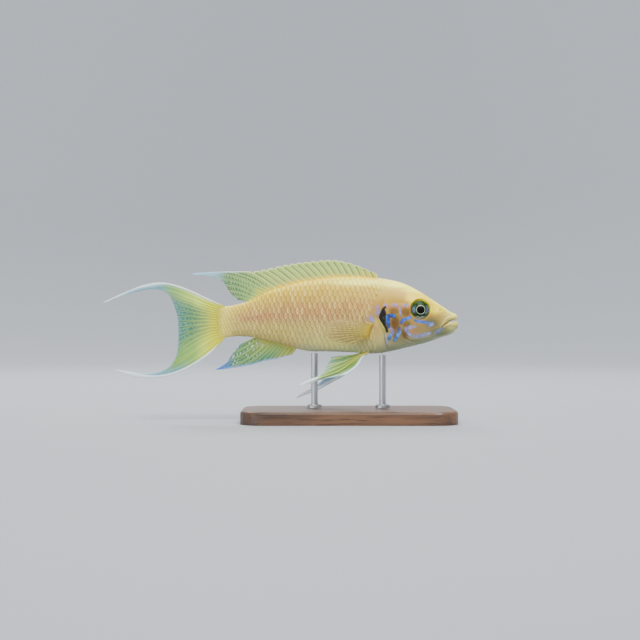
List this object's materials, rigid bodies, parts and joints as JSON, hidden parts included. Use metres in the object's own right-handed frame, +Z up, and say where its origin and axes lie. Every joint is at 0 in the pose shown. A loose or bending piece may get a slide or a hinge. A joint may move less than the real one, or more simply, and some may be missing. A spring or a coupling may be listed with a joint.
{
  "type": "daffodil cichlid",
  "caption": "Slender lyre-tailed lake cichlid, swimming level and seen whole, with long-tipped fins, held on a plain flat display stand.",
  "frame": {"origin": "middle of the underside of the stand's base, on the surface it stands on", "axes": "+X along the fish towards its snout, +Y towards the fish's left side, +Z up"},
  "size_m": [0.1066, 0.034, 0.0486],
  "materials": {
    "skin": "warm ochre to pinkish beige scaled skin, satin",
    "fin": "thin yellow fin membrane with pale blue edges, satin",
    "eye": "wet gloss, dark iris with a pale ring",
    "stand_base": "dark stained wood, satin varnish",
    "stand_rod": "brushed steel rod"
  },
  "bodies": {
    "root": {"head": "skin", "torso": "skin", "tail": "skin", "eye_right": "eye", "eye_left": "eye", "dorsal_fin": "fin", "anal_fin": "fin", "caudal_fin_upper": "fin", "caudal_fin_lower": "fin", "caudal_streamer_upper": "fin", "caudal_streamer_lower": "fin", "pectoral_fin_right": "fin", "pectoral_fin_left": "fin", "pelvic_fin_right": "fin", "pelvic_fin_left": "fin", "stand_base": "stand_base", "stand_rod_front": "stand_rod", "stand_rod_rear": "stand_rod"}
  },
  "joints": []
}
